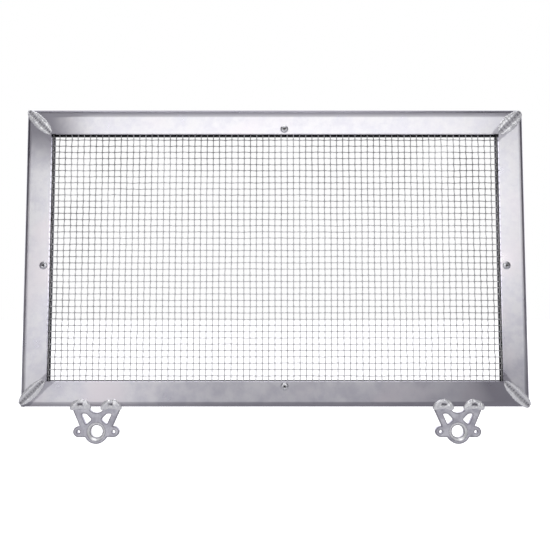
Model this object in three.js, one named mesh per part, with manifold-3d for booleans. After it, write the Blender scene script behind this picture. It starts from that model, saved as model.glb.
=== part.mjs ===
// Framed wire guard screen.
//
// Four lengths of aluminium channel are mitred and welded into a frame. Their open sides face inwards and
// hold the edge of a square-mesh stainless wire screen. One blind rivet in each side goes through both
// flanges of the channel and through the screen. Two lightened mounting tabs for quarter-turn fasteners are
// welded under the bottom rail.
//
// Millimetres. +X runs along the long side, +Z is up, and the front face looks along -Y. The origin lies
// halfway between the two tabs' fastener holes, on the plane of the tabs' back faces.

import * as THREE from "three";
import { mergeVertices } from "three/addons/utils/BufferGeometryUtils.js";
import Module from "manifold-3d";

const wasm = await Module();
wasm.setup();

// ---- Driving dimensions ----

const frame = {
  width: 508,
  height: 301.6,
  face: 25.4, // how wide the channel looks from the front
  depth: 12.7, // front face to back face
  wall: 3.2,
  bendRadius: 4, // outside radius of the two bends
  leastInnerRadius: 0.3, // inside the bends, however thick the wall
  jointGap: 0.2, // root gap at each mitre
  dressedRadius: 8, // the top right corner, which is dressed round after welding
  aside: -2.2, // middle of the frame from the middle between the tabs
};

const screen = {
  pitch: 6.35,
  wire: 1.2, // diameter of the round wire
  reach: 12, // how far the sheet goes into the channel
  layerGap: 0.15,
};

const rivet = {
  shank: 4,
  head: 8,
  headHeight: 1.4,
  headRim: 0.2, // height of the head's upright edge
  bulb: 5.8, // the part that swells behind the back flange
  bulbLength: 5,
  bore: 2.3,
  mandrelClearance: 0.1, // all round the mandrel
  mandrelEnd: 3.6, // head of the broken mandrel, left in the blind end
  holeClearance: 0.1, // all round the shank
  drillClearance: 0.3, // between the shank and a wire
  cellsOffMiddle: 1.5, // mesh cells from the middle of a side, so that the shank passes between wires
  inset: 5, // flange edge to rivet
};

const tab = {
  spacing: 361, // between the two fastener holes
  drop: 24.6, // bottom edge of the frame to the fastener hole
  thickness: 3.2,
  setback: 2.5, // how far the tab's front lies behind the frame's front
  bossRadius: 12,
  hole: 12.2,
  dimple: 18.4,
  dimpleDepth: 2,
  dimpleFlat: 0.8, // flat ring at the bottom of the dimple, round the hole
  dimpleShoulder: 1.6, // ring of the plate that is made in one with the dimple
  springSpacing: 34.925, // between the two small rivet holes
  earRadius: 5.3,
  earHole: 3.3,
  topWidth: 46, // over the two feet that are welded to the frame
  archWidth: 15, // gap between the feet
  archDepth: 6.1,
  legWidth: 5.9,
  ankleInset: 1.3, // where a leg meets its ear: this far in from the ear's middle
  footHeight: 4,
  waist: 9, // material between the windows
  waistHeight: 12, // the narrowest place of the waist, above the fastener hole
  windowTop: 17.8, // the same for the windows' upper and lower ends
  windowLow: 6.9,
  windowShoulder: 10.2, // from the middle of the tab to a window's upper inner corner
  windowCorner: 1.8,
};

const weld = {
  cornerWidth: 11.5,
  cornerRise: 2,
  cornerMargin: 0.6, // bead end to the inner corner of the frame
  cornerOverhang: 1.2, // how far the bead runs out past the outer corner
  edgeRadius: 3.4, // bead down the outer corner
  edgeProud: 2,
  tabLength: 20,
  tabHeight: 13,
  tabUp: 1, // middle of the bead above the bottom of the frame
  tabRise: 2,
  gap: 0.3, // between a bead and what it lies on
};

const touching = 0.05; // clearance between flat faces that bear on each other
const lap = 0.6; // how far two shapes of one solid run into each other

// How many flat facets stand for each curve.
const facets = {
  bend: 10,
  plate: 10,
  hole: 16,
  rivet: 20,
  mandrel: 12,
  dimple: 32,
  ball: 18,
  edgeBead: 20,
  dressedCorner: 32,
};

// ---- Places that follow from the dimensions ----

const tabBack = 0;
const tabFront = tabBack - tab.thickness;
const frameFront = tabFront - tab.setback;
const frameMiddle = frameFront + frame.depth / 2;
const frameBottom = tab.drop;
const frameCentre = new THREE.Vector3(frame.aside, frameFront, frameBottom + frame.height / 2);
const openingWidth = frame.width - 2 * frame.face;
const openingHeight = frame.height - 2 * frame.face;

// ---- Looks ----

const aluminium = { color: 0xc9c9ce, roughness: 0.38, metalness: 1 };
const beadMetal = { color: 0xd9d9de, roughness: 0.3, metalness: 1 };
const tabMetal = { color: 0xb9b9c0, roughness: 0.42, metalness: 1 };
const rivetMetal = { color: 0xc4c4c8, roughness: 0.4, metalness: 1 };
const steelWire = { color: 0xd2d2d0, roughness: 0.25, metalness: 1 };
const mandrelSteel = { color: 0x6f6f72, roughness: 0.5, metalness: 1 };

// ---- Joining and cutting ----

function solidFrom(geometry) {
  const bare = geometry.clone();
  bare.deleteAttribute("normal");
  bare.deleteAttribute("uv");
  const merged = mergeVertices(bare, 1e-3);
  const index = merged.index.array;
  const triangles = [];
  for (let i = 0; i < index.length; i += 3) {
    const [a, b, c] = index.subarray(i, i + 3);
    if (a !== b && b !== c && c !== a) triangles.push(a, b, c);
  }
  return new wasm.Manifold(
    new wasm.Mesh({
      numProp: 3,
      vertProperties: merged.attributes.position.array,
      triVerts: new Uint32Array(triangles),
    }),
  );
}

function geometryFrom(solid) {
  const mesh = solid.getMesh();
  const geometry = new THREE.BufferGeometry();
  geometry.setAttribute("position", new THREE.BufferAttribute(mesh.vertProperties, 3));
  geometry.setIndex(new THREE.BufferAttribute(mesh.triVerts, 1));
  geometry.computeVertexNormals();
  return geometry;
}

// A round bar through (x, z), long enough to go through anything here, along Y.
function crossBar(x, z, radius, sides = facets.hole) {
  const long = 4 * (frame.depth + tab.thickness);
  return solidFrom(new THREE.CylinderGeometry(radius, radius, long, sides).translate(x, 0, z));
}

function box(width, depth, height, x, y, z) {
  return new THREE.BoxGeometry(width, depth, height).translate(x, y, z);
}

// A turned piece whose axis is Y. The profile is a list of [radius, y].
function turned(profile, sides) {
  const points = profile.map(([radius, y]) => new THREE.Vector2(radius, y));
  return new THREE.LatheGeometry(points, sides);
}

function part(name, geometry, look) {
  const mesh = new THREE.Mesh(geometry, new THREE.MeshStandardMaterial(look));
  mesh.name = name;
  return mesh;
}

// ---- Frame ----

// Section of the channel: x runs inwards from the outer wall, y runs back from the front face.
// grow makes the outside larger all round, and a solid section has no hollow.
function channelSection({ grow = 0, hollow = true } = {}) {
  const outer = frame.bendRadius + grow;
  const inner = Math.max(frame.bendRadius - frame.wall, frame.leastInnerRadius);
  const near = -grow;
  const back = frame.depth + grow;
  const shape = new THREE.Shape();
  shape.moveTo(frame.face, near);
  shape.lineTo(frame.face, hollow ? frame.wall : back);
  if (hollow) {
    const web = frame.wall + inner;
    shape.lineTo(web, frame.wall);
    shape.absarc(web, web, inner, -Math.PI / 2, Math.PI, true);
    shape.absarc(web, frame.depth - web, inner, Math.PI, Math.PI / 2, true);
    shape.lineTo(frame.face, frame.depth - frame.wall);
    shape.lineTo(frame.face, back);
  }
  shape.absarc(near + outer, back - outer, outer, Math.PI / 2, Math.PI, false);
  shape.absarc(near + outer, near + outer, outer, Math.PI, 1.5 * Math.PI, false);
  return shape;
}

// A length of section lying along X, its outer wall down at z = 0, with mitred ends.
function mitredLength(section, outerLength, jointGap) {
  const geometry = new THREE.ExtrudeGeometry(section, {
    depth: outerLength,
    bevelEnabled: false,
    curveSegments: facets.bend,
  });
  const position = geometry.attributes.position;
  for (let i = 0; i < position.count; i++) {
    const cut = position.getX(i) + jointGap / Math.SQRT2;
    const atStart = position.getZ(i) < outerLength / 2;
    position.setZ(i, (atStart ? cut : outerLength - cut) - outerLength / 2);
  }
  // section x becomes +Z, section y becomes +Y, and the length runs along X
  const axes = new THREE.Matrix4().makeBasis(
    new THREE.Vector3(0, 0, 1),
    new THREE.Vector3(0, 1, 0),
    new THREE.Vector3(-1, 0, 0),
  );
  return geometry.applyMatrix4(axes);
}

// Each side is built as if it were the bottom one and then turned about the frame's centre. rivetAlong is
// measured before the turn, so that the rivets end up right of the middle and below it.
const rivetShift = rivet.cellsOffMiddle * screen.pitch;
const dressedEnds = { top: -1, right: 1 }; // the ends that meet at the dressed corner
const sides = ["bottom", "left", "top", "right"].map((name, i) => {
  const isLong = i % 2 === 0;
  return {
    name,
    turn: (i * Math.PI) / 2,
    outerLength: isLong ? frame.width : frame.height,
    across: (isLong ? frame.height : frame.width) / 2,
    rivetAlong: i < 2 ? rivetShift : -rivetShift,
    dressedEnd: dressedEnds[name],
  };
});
const rivetUp = frame.face - rivet.inset;

// What is dressed off one end of a side to make the frame's corner round.
function dressing(side) {
  const radius = frame.dressedRadius;
  const block = radius + lap;
  const end = side.dressedEnd;
  const corner = (end * side.outerLength) / 2;
  const whole = box(
    block,
    2 * frame.depth,
    block,
    corner - (end * (radius - lap)) / 2,
    frame.depth / 2,
    (radius - lap) / 2,
  );
  return solidFrom(whole).subtract(
    crossBar(corner - end * radius, radius, radius, facets.dressedCorner),
  );
}

function rail(side) {
  const channel = solidFrom(mitredLength(channelSection(), side.outerLength, frame.jointGap));
  const hole = crossBar(side.rivetAlong, rivetUp, rivet.shank / 2 + rivet.holeClearance);
  const drilled = channel.subtract(hole);
  const finished = side.dressedEnd ? drilled.subtract(dressing(side)) : drilled;
  return part(side.name + "_rail", geometryFrom(finished), aluminium);
}

// ---- Blind rivets ----

function rivetBody(side) {
  const head = rivet.head / 2;
  const shank = rivet.shank / 2;
  const bore = rivet.bore / 2;
  const bulb = rivet.bulb / 2;
  const back = frame.depth + touching;
  const tail = back + rivet.bulbLength;
  const profile = [
    [bore, -rivet.headHeight],
    [head * 0.55, -rivet.headHeight * 0.86],
    [head * 0.85, -rivet.headHeight * 0.5],
    [head, -touching - rivet.headRim],
    [head, -touching],
    [shank, -touching],
    [shank, back],
    [bulb * 0.93, back],
    [bulb, back + rivet.bulbLength * 0.3],
    [bulb * 0.8, back + rivet.bulbLength * 0.7],
    [shank, tail],
    [bore, tail],
    [bore, -rivet.headHeight],
  ];
  const body = turned(profile, facets.rivet).translate(side.rivetAlong, 0, rivetUp);
  return part(side.name + "_rivet", body, rivetMetal);
}

function rivetMandrel(side) {
  const shaft = rivet.bore / 2 - rivet.mandrelClearance;
  const end = rivet.mandrelEnd / 2;
  const tail = frame.depth + rivet.bulbLength + 3 * touching;
  const profile = [
    [0, -rivet.headHeight * 0.3],
    [shaft, -rivet.headHeight * 0.3],
    [shaft, tail],
    [end, tail],
    [end * 0.8, tail + end * 0.6],
    [0, tail + end * 0.8],
  ];
  const stub = turned(profile, facets.mandrel).translate(side.rivetAlong, 0, rivetUp);
  return part(side.name + "_rivet_mandrel", stub, mandrelSteel);
}

// ---- Wire screen ----

// Square bars stand for the round wires, with the same metal in them.
const barSide = (screen.wire * Math.sqrt(Math.PI)) / 2;

// Centres of the wires across an opening. One wire runs through the middle.
function wirePlaces(opening) {
  const eachWay = Math.floor((opening / 2 + screen.reach) / screen.pitch);
  return Array.from({ length: 2 * eachWay + 1 }, (_, i) => (i - eachWay) * screen.pitch);
}

// The places of the four rivets, in the frame's own axes.
function rivetPlaces() {
  return sides.map((side) => {
    const along = side.rivetAlong;
    const down = rivetUp - side.across;
    const cosine = Math.cos(side.turn);
    const sine = Math.sin(side.turn);
    return [along * cosine + down * sine, down * cosine - along * sine];
  });
}

// One layer of parallel wires, tied at both ends inside the channel and drilled for the rivets.
function wireLayer(name, upright) {
  const places = wirePlaces(upright ? openingWidth : openingHeight);
  const halfLength = (upright ? openingHeight : openingWidth) / 2 + screen.reach;
  const y = frame.depth / 2 + ((upright ? -1 : 1) * (barSide + screen.layerGap)) / 2;
  const lay = (acrossSize, alongSize, across, along) =>
    upright
      ? box(acrossSize, barSide, alongSize, across, y, along)
      : box(alongSize, barSide, acrossSize, along, y, across);
  const tieSpan = 2 * places.at(-1) + barSide;
  const ties = [-1, 1].map((end) => lay(tieSpan, barSide, 0, end * (halfLength - barSide / 2)));
  const wires = places.map((across) => lay(barSide, 2 * halfLength - barSide, across, 0));
  const hole = rivet.shank / 2 + rivet.drillClearance;
  const cuts = rivetPlaces().map(([x, z]) => crossBar(x, z, hole));
  const whole = [...ties, ...wires].map(solidFrom).reduce((layer, next) => layer.add(next));
  const drilled = cuts.reduce((layer, cut) => layer.subtract(cut), whole);
  return part(name, geometryFrom(drilled), steelWire);
}

// ---- Welds of the frame ----

// A ball stretched along X: it rises before y = 0 and sinks behind it by different amounts.
function stretchedBall(halfLength, rise, sink, halfWidth) {
  const ball = new THREE.SphereGeometry(1, facets.ball, facets.ball).rotateZ(Math.PI / 2);
  const position = ball.attributes.position;
  for (let i = 0; i < position.count; i++) {
    const y = position.getY(i);
    position.setY(i, y * (y < 0 ? rise : sink));
  }
  return ball.scale(halfLength, 1, halfWidth);
}

// A corner of the frame without its hollow, its outer corner at the origin, grown by the weld gap.
function cornerSolid() {
  const reach = 3 * frame.face;
  const section = channelSection({ grow: weld.gap, hollow: false });
  const level = mitredLength(section, reach, -weld.gap).translate(reach / 2, 0, 0);
  const upright = level.clone().translate(-reach, 0, 0).rotateY(Math.PI / 2);
  return solidFrom(level).add(solidFrom(upright));
}

// A bead along a mitre, on the front of the bottom left corner. At the dressed corner it stops short.
function cornerBead(name, dressed) {
  const dressedOff = frame.dressedRadius * (Math.SQRT2 - 1);
  const outerEnd = dressed ? dressedOff + weld.cornerMargin : -weld.cornerOverhang;
  const innerEnd = frame.face * Math.SQRT2 - weld.cornerMargin;
  const ball = stretchedBall(
    (innerEnd - outerEnd) / 2,
    weld.cornerRise,
    frame.bendRadius,
    weld.cornerWidth / 2,
  );
  ball.translate((innerEnd + outerEnd) / 2, 0, 0).rotateY(-Math.PI / 4);
  return part(name, geometryFrom(solidFrom(ball).subtract(cornerSolid())), beadMetal);
}

// The same bead on the back: half a turn about the mitre's own line.
function backCornerBead(name, dressed) {
  const bead = cornerBead(name, dressed);
  bead.setRotationFromAxisAngle(new THREE.Vector3(1, 0, 1).normalize(), Math.PI);
  bead.position.y = frame.depth;
  return bead;
}

// A bead down the outer corner, over the straight stretch between the two bends.
function edgeBead(name) {
  const straight = frame.depth - 2 * (frame.bendRadius + weld.gap);
  const inset = weld.edgeRadius - weld.edgeProud;
  const rod = new THREE.CylinderGeometry(
    weld.edgeRadius,
    weld.edgeRadius,
    straight,
    facets.edgeBead,
  );
  rod.translate(inset, frame.depth / 2, inset);
  return part(name, geometryFrom(solidFrom(rod).subtract(cornerSolid())), beadMetal);
}

// ---- Mounting tabs ----

// Corner of a shape, rounded: goes straight towards the corner, then bends towards the next point.
function roundCorner(path, from, corner, to, radius) {
  const back = from.clone().sub(corner).normalize().multiplyScalar(radius);
  const on = to.clone().sub(corner).normalize().multiplyScalar(radius);
  path.lineTo(corner.x + back.x, corner.y + back.y);
  path.quadraticCurveTo(corner.x, corner.y, corner.x + on.x, corner.y + on.y);
}

function roundedPolygon(points, radius) {
  const path = new THREE.Path();
  const at = (i) => points[(i + points.length) % points.length];
  const start = at(0).clone().lerp(at(1), 0.5);
  path.moveTo(start.x, start.y);
  for (let i = 1; i <= points.length; i++) {
    roundCorner(path, at(i - 1), at(i), at(i + 1), radius);
  }
  return path;
}

// Places on the tab, seen from the front, with the fastener hole at 0, 0.
function tabPoints() {
  const ear = tab.springSpacing / 2;
  const top = tab.drop - touching;
  const half = tab.topWidth / 2;
  const foot = new THREE.Vector2(half, top - tab.footHeight);
  const ankleHeight = Math.sqrt(tab.earRadius ** 2 - tab.ankleInset ** 2);
  const ankle = new THREE.Vector2(ear - tab.ankleInset, ankleHeight);
  return { ear, top, half, foot, ankle };
}

function tabOutline() {
  const { ear, top, half, foot, ankle } = tabPoints();
  const arch = tab.archWidth / 2;
  const ankleAngle = Math.atan2(ankle.y, ankle.x - ear);
  const chin = -tab.earRadius;
  const bossAngle = Math.asin(chin / tab.bossRadius);
  const shape = new THREE.Shape();
  shape.moveTo(arch, top);
  shape.lineTo(half, top);
  shape.lineTo(foot.x, foot.y);
  shape.lineTo(ankle.x, ankle.y);
  shape.absarc(ear, 0, tab.earRadius, ankleAngle, -Math.PI / 2, true);
  shape.absarc(0, 0, tab.bossRadius, bossAngle, -Math.PI - bossAngle, true);
  shape.absarc(-ear, 0, tab.earRadius, -Math.PI / 2, -Math.PI - ankleAngle, true);
  shape.lineTo(-foot.x, foot.y);
  shape.lineTo(-half, top);
  shape.lineTo(-arch, top);
  shape.absellipse(0, top, arch, tab.archDepth, Math.PI, 2 * Math.PI, false);
  return shape;
}

// The four-sided window beside the waist, on the side that sign gives.
function tabWindow(sign) {
  const { foot, ankle } = tabPoints();
  const slope = new THREE.Vector2().subVectors(foot, ankle).normalize();
  const inwards = new THREE.Vector2(-slope.y, slope.x).multiplyScalar(tab.legWidth);
  const alongLeg = (height) => {
    const start = ankle.clone().add(inwards);
    return start.addScaledVector(slope, (height - start.y) / slope.y);
  };
  const corners = [
    alongLeg(tab.windowLow),
    alongLeg(tab.windowTop),
    new THREE.Vector2(tab.windowShoulder, tab.windowTop),
    new THREE.Vector2(tab.waist / 2, tab.waistHeight),
  ];
  if (sign < 0) corners.reverse(); // the mirrored window keeps its winding
  for (const corner of corners) corner.x *= sign;
  return roundedPolygon(corners, tab.windowCorner);
}

// The ring round the fastener hole, pressed back into a shallow cone.
function dimpleRing() {
  const hole = tab.hole / 2;
  const bottom = hole + tab.dimpleFlat;
  const rim = tab.dimple / 2;
  const edge = rim + tab.dimpleShoulder;
  // the back's two bends lie further out, so that the plate stays equally thick
  const slope = Math.atan2(tab.dimpleDepth, rim - bottom);
  const further = tab.thickness * Math.tan(slope / 2);
  const profile = [
    [edge, tabFront],
    [rim, tabFront],
    [bottom, tabFront + tab.dimpleDepth],
    [hole, tabFront + tab.dimpleDepth],
    [hole, tabBack + tab.dimpleDepth],
    [bottom + further, tabBack + tab.dimpleDepth],
    [rim + further, tabBack],
    [edge, tabBack],
    [edge, tabFront],
  ];
  return turned(profile.reverse(), facets.dimple);
}

function mountingTab(name) {
  const outline = tabOutline();
  outline.holes.push(tabWindow(1), tabWindow(-1));
  const plate = new THREE.ExtrudeGeometry(outline, {
    depth: tab.thickness,
    bevelEnabled: false,
    curveSegments: facets.plate,
  });
  plate.rotateX(Math.PI / 2).translate(0, tabBack, 0);
  const { ear } = tabPoints();
  const opening = tab.dimple / 2 + tab.dimpleShoulder - lap;
  const body = solidFrom(plate)
    .subtract(crossBar(0, 0, opening, facets.dimple))
    .add(solidFrom(dimpleRing()))
    .subtract(crossBar(ear, 0, tab.earHole / 2))
    .subtract(crossBar(-ear, 0, tab.earHole / 2));
  return part(name, geometryFrom(body), tabMetal);
}

// The bead that joins one foot of a tab to the frame. It fills the groove under the channel's front bend.
function tabBead(name, sign) {
  const { half } = tabPoints();
  const footMiddle = (half + tab.archWidth / 2) / 2;
  const rise = weld.tabRise + frame.bendRadius;
  const ball = stretchedBall(weld.tabLength / 2, rise, rise, weld.tabHeight / 2);
  ball.translate(sign * footMiddle, frameFront + frame.bendRadius, frameBottom + weld.tabUp);
  const section = channelSection({ grow: weld.gap, hollow: false });
  const railSolid = mitredLength(section, frame.width, 0).translate(0, frameFront, frameBottom);
  const behind = tab.thickness + frame.depth;
  const plate = box(
    frame.width,
    behind,
    2 * tab.drop,
    0,
    tabFront - weld.gap + behind / 2,
    frameBottom - tab.drop + weld.gap,
  );
  const rearHalf = frameMiddle + frame.depth / 2;
  const rear = box(frame.width, frame.depth, 2 * tab.drop, 0, rearHalf, frameBottom);
  const bead = solidFrom(ball)
    .subtract(solidFrom(railSolid))
    .subtract(solidFrom(plate))
    .subtract(solidFrom(rear));
  return part(name, geometryFrom(bead), beadMetal);
}

// ---- Assembly ----

const guard = new THREE.Group();
const framework = new THREE.Group();
framework.position.copy(frameCentre);
guard.add(framework);

for (const side of sides) {
  const turnedSide = new THREE.Group();
  turnedSide.rotation.y = side.turn;
  const lower = new THREE.Group();
  lower.position.z = -side.across;
  lower.add(rail(side), rivetBody(side), rivetMandrel(side));
  turnedSide.add(lower);
  framework.add(turnedSide);
}

framework.add(wireLayer("upright_wires", true), wireLayer("level_wires", false));

// The corners go round the frame in the order of the turns; at every second one the sides change places.
const corners = ["bottom_left", "top_left", "top_right", "bottom_right"];
corners.forEach((corner, i) => {
  const dressed = corner === "top_right";
  const turnedCorner = new THREE.Group();
  turnedCorner.rotation.y = (i * Math.PI) / 2;
  const place = new THREE.Group();
  const swapped = i % 2 === 1;
  place.position.x = -(swapped ? frame.height : frame.width) / 2;
  place.position.z = -(swapped ? frame.width : frame.height) / 2;
  place.add(
    cornerBead(corner + "_front_weld", dressed),
    backCornerBead(corner + "_back_weld", dressed),
  );
  if (!dressed) place.add(edgeBead(corner + "_edge_weld"));
  turnedCorner.add(place);
  framework.add(turnedCorner);
});

for (const [name, sign] of [["left", -1], ["right", 1]]) {
  const place = new THREE.Group();
  place.position.x = (sign * tab.spacing) / 2;
  place.add(
    mountingTab(name + "_tab"),
    tabBead(name + "_tab_left_weld", -1),
    tabBead(name + "_tab_right_weld", 1),
  );
  guard.add(place);
}

export default guard;
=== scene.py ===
import math

import bmesh
import bpy
from mathutils import Matrix, Vector


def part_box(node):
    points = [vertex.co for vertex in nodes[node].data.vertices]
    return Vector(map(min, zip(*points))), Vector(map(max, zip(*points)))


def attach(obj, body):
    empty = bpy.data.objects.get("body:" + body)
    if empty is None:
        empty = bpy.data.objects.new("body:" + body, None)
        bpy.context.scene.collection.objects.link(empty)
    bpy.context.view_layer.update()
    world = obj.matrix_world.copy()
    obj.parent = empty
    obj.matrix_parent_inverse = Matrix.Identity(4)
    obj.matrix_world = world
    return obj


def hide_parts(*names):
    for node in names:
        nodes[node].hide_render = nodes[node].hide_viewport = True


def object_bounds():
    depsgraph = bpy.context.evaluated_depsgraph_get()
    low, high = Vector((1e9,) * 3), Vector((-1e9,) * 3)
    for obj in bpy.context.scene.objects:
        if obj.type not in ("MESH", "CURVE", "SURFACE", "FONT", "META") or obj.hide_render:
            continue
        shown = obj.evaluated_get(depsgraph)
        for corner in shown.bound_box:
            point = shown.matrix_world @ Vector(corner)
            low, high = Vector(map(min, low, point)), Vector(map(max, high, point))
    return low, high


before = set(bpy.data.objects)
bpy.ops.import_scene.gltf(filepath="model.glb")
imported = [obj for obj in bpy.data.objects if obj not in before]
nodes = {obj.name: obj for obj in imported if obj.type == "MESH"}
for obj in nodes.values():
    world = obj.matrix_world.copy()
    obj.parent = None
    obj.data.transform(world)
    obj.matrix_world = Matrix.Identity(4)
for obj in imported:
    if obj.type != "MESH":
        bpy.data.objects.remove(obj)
cadLow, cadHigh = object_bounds()
print("frame loaded:", len(nodes), "nodes")

mm = 0.001
cornerSigns = {
    "bottom_left": (-1, -1),
    "top_left": (-1, 1),
    "top_right": (1, 1),
    "bottom_right": (1, -1),
}
sideNames = ("bottom", "left", "top", "right")
tabNames = ("left", "right")

# where the frame is, read from the CAD nodes; bend and dressed are the channel's outer radii
leftLow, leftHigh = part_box("left_rail")
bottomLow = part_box("bottom_rail")[0]
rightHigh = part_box("right_rail")[1]
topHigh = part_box("top_rail")[1]
rail = {
    "front": leftLow.y,
    "back": leftHigh.y,
    "face": leftHigh.x - leftLow.x,
    "bend": 4 * mm,
    "dressed": 8 * mm,
    "halfWidth": (rightHigh.x - leftLow.x) / 2,
    "halfHeight": (topHigh.z - bottomLow.z) / 2,
    "centre": Vector((
        (leftLow.x + rightHigh.x) / 2,
        (leftLow.y + leftHigh.y) / 2,
        (bottomLow.z + topHigh.z) / 2,
    )),
}


def middle(node):
    low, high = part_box(node)
    return (low + high) / 2


# node tree helpers

def addNode(tree, kind, **settings):
    node = tree.nodes.new(kind)
    for name, value in settings.items():
        setattr(node, name, value)
    return node


def feed(tree, socket, value):
    if isinstance(value, bpy.types.NodeSocket):
        tree.links.new(value, socket)
    elif value is not None:
        socket.default_value = value


def feedAll(tree, node, **values):
    for label, value in values.items():
        feed(tree, node.inputs[label.replace("_", " ")], value)
    return node


def maths(tree, operation, *values, clamp=False):
    node = addNode(tree, "ShaderNodeMath", operation=operation, use_clamp=clamp)
    for socket, value in zip(node.inputs, values):
        feed(tree, socket, value)
    return node.outputs[0]


def times(tree, first, *others):
    for other in others:
        first = maths(tree, "MULTIPLY", first, other)
    return first


def addScaled(tree, total, value, factor):
    return maths(tree, "MULTIPLY_ADD", value, factor, total)


def minus(tree, total, *product):
    return maths(tree, "SUBTRACT", total, times(tree, *product))


def split(tree, vector):
    node = addNode(tree, "ShaderNodeSeparateXYZ")
    feed(tree, node.inputs[0], vector)
    return node.outputs


def joined(tree, **values):
    return feedAll(tree, addNode(tree, "ShaderNodeCombineXYZ"), **values).outputs[0]


def smoothStep(tree, value, low, high):
    node = addNode(tree, "ShaderNodeMapRange", interpolation_type="SMOOTHSTEP")
    feedAll(tree, node, Value=value, From_Min=low, From_Max=high)
    return node.outputs["Result"]


def readPosition(tree):
    return addNode(tree, "GeometryNodeInputPosition").outputs[0]


def stored(tree, geometry, name, value):
    node = addNode(tree, "GeometryNodeStoreNamedAttribute", data_type="FLOAT", domain="POINT")
    return feedAll(tree, node, Geometry=geometry, Name=name, Value=value).outputs["Geometry"]


def realized(tree, geometry):
    node = addNode(tree, "GeometryNodeRealizeInstances")
    return feedAll(tree, node, Geometry=geometry).outputs["Geometry"]


def shadedSmooth(tree, geometry):
    node = addNode(tree, "GeometryNodeSetShadeSmooth")
    return feedAll(tree, node, Geometry=geometry).outputs["Geometry"]


def finished(tree, geometry, material):
    node = addNode(tree, "GeometryNodeSetMaterial")
    return feedAll(tree, node, Geometry=geometry, Material=material).outputs["Geometry"]


# 1 up to low, and 0 from high on
def fading(tree, value, low, high):
    return minus(tree, 1.0, smoothStep(tree, value, low, high))


def noise(tree, vector, scale, detail=2.0, roughness=0.5):
    node = addNode(tree, "ShaderNodeTexNoise")
    feedAll(tree, node, Vector=vector, Scale=scale, Detail=detail, Roughness=roughness)
    return node.outputs["Fac"]


def newTree(name, kind, inputs, outputs):
    tree = bpy.data.node_groups.new(name, kind)
    for label, socketType, default in inputs:
        socket = tree.interface.new_socket(name=label, in_out="INPUT", socket_type=socketType)
        if default is not None:
            socket.default_value = default
    for label, socketType in outputs:
        tree.interface.new_socket(name=label, in_out="OUTPUT", socket_type=socketType)
    given = tree.nodes.new("NodeGroupInput").outputs
    made = tree.nodes.new("NodeGroupOutput").inputs
    return tree, given, made


# a Geometry Nodes tree run once on an object of its own, which keeps the plain mesh
def grow(name, tree, values, seedMesh=None, matrix=None):
    host = bpy.data.objects.new(name, seedMesh or bpy.data.meshes.new(name))
    bpy.context.scene.collection.objects.link(host)
    modifier = host.modifiers.new("grow", "NODES")
    modifier.node_group = tree
    for item in tree.interface.items_tree:
        if item.item_type == "SOCKET" and item.in_out == "INPUT" and item.name in values:
            modifier[item.identifier] = values[item.name]
    grown = host.evaluated_get(bpy.context.evaluated_depsgraph_get())
    mesh = bpy.data.meshes.new_from_object(grown)
    host.modifiers.clear()
    host.data = mesh
    mesh.name = name
    if matrix:
        mesh.transform(matrix)
    return host


def keep(piece, slotName, *replaced):
    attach(piece, "root")
    if replaced:
        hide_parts(*replaced)
    return piece


# shader groups

# weights are for the height, which the bumps are made from
handledLook = {
    "cloudNoise": (5.0, 0.62),  # detail and roughness
    "cloudWeight": 0.6,
    "patchScale": 0.22,  # beside the scale of the clouds
    "grainNoise": (2.0, 0.6),
    "grainWeight": 0.2,
    "ringWeight": 0.12,
}


def makeHandledMetal():
    tree, given, made = newTree(
        "handledMetal",
        "ShaderNodeTree",
        [
            ("Vector", "NodeSocketVector", None),
            ("Grain Vector", "NodeSocketVector", None),
            ("Cloud Scale", "NodeSocketFloat", 70.0),
            ("Grain Scale", "NodeSocketFloat", 900.0),
            ("Swirl Scale", "NodeSocketFloat", 35.0),
            ("Swirl Pitch", "NodeSocketFloat", 0.0011),
        ],
        [
            ("Cloud", "NodeSocketFloat"),
            ("Patch", "NodeSocketFloat"),
            ("Height", "NodeSocketFloat"),
        ],
    )
    cloud = noise(tree, given["Vector"], given["Cloud Scale"], *handledLook["cloudNoise"])
    patchScale = times(tree, given["Cloud Scale"], handledLook["patchScale"])
    patch = noise(tree, given["Vector"], patchScale, 1.0)
    grain = noise(tree, given["Grain Vector"], given["Grain Scale"], *handledLook["grainNoise"])
    # rings round scattered points, as a rag or a pad leaves them
    cells = addNode(tree, "ShaderNodeTexVoronoi")
    feedAll(tree, cells, Vector=given["Vector"], Scale=given["Swirl Scale"])
    reach = maths(tree, "DIVIDE", cells.outputs["Distance"], given["Swirl Scale"])
    pitch = maths(tree, "DIVIDE", given["Swirl Pitch"], math.tau)
    ring = times(tree, maths(tree, "SINE", maths(tree, "DIVIDE", reach, pitch)), cloud)
    height = times(tree, grain, handledLook["grainWeight"])
    height = addScaled(tree, height, ring, handledLook["ringWeight"])
    height = addScaled(tree, height, cloud, handledLook["cloudWeight"])
    feed(tree, made["Cloud"], cloud)
    feed(tree, made["Patch"], patch)
    feed(tree, made["Height"], height)
    return tree


handledMetal = makeHandledMetal()


# materials

def newMaterial(name):
    material = bpy.data.materials.new(name)
    material.use_nodes = True
    tree = material.node_tree
    tree.nodes.clear()
    surface = addNode(tree, "ShaderNodeBsdfPrincipled")
    output = addNode(tree, "ShaderNodeOutputMaterial")
    tree.links.new(surface.outputs["BSDF"], output.inputs["Surface"])
    surface.inputs["Metallic"].default_value = 1.0
    return material, tree, surface.inputs


def mixColour(tree, factor, first, second):
    node = addNode(tree, "ShaderNodeMix", data_type="RGBA")
    feed(tree, node.inputs["Factor"], factor)
    feed(tree, node.inputs[6], first)
    feed(tree, node.inputs[7], second)
    return node.outputs[2]


def objectVector(tree):
    return addNode(tree, "ShaderNodeTexCoord").outputs["Object"]


def stretched(tree, vector, scale):
    node = addNode(tree, "ShaderNodeMapping")
    feedAll(tree, node, Vector=vector, Scale=scale)
    return node.outputs["Vector"]


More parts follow.
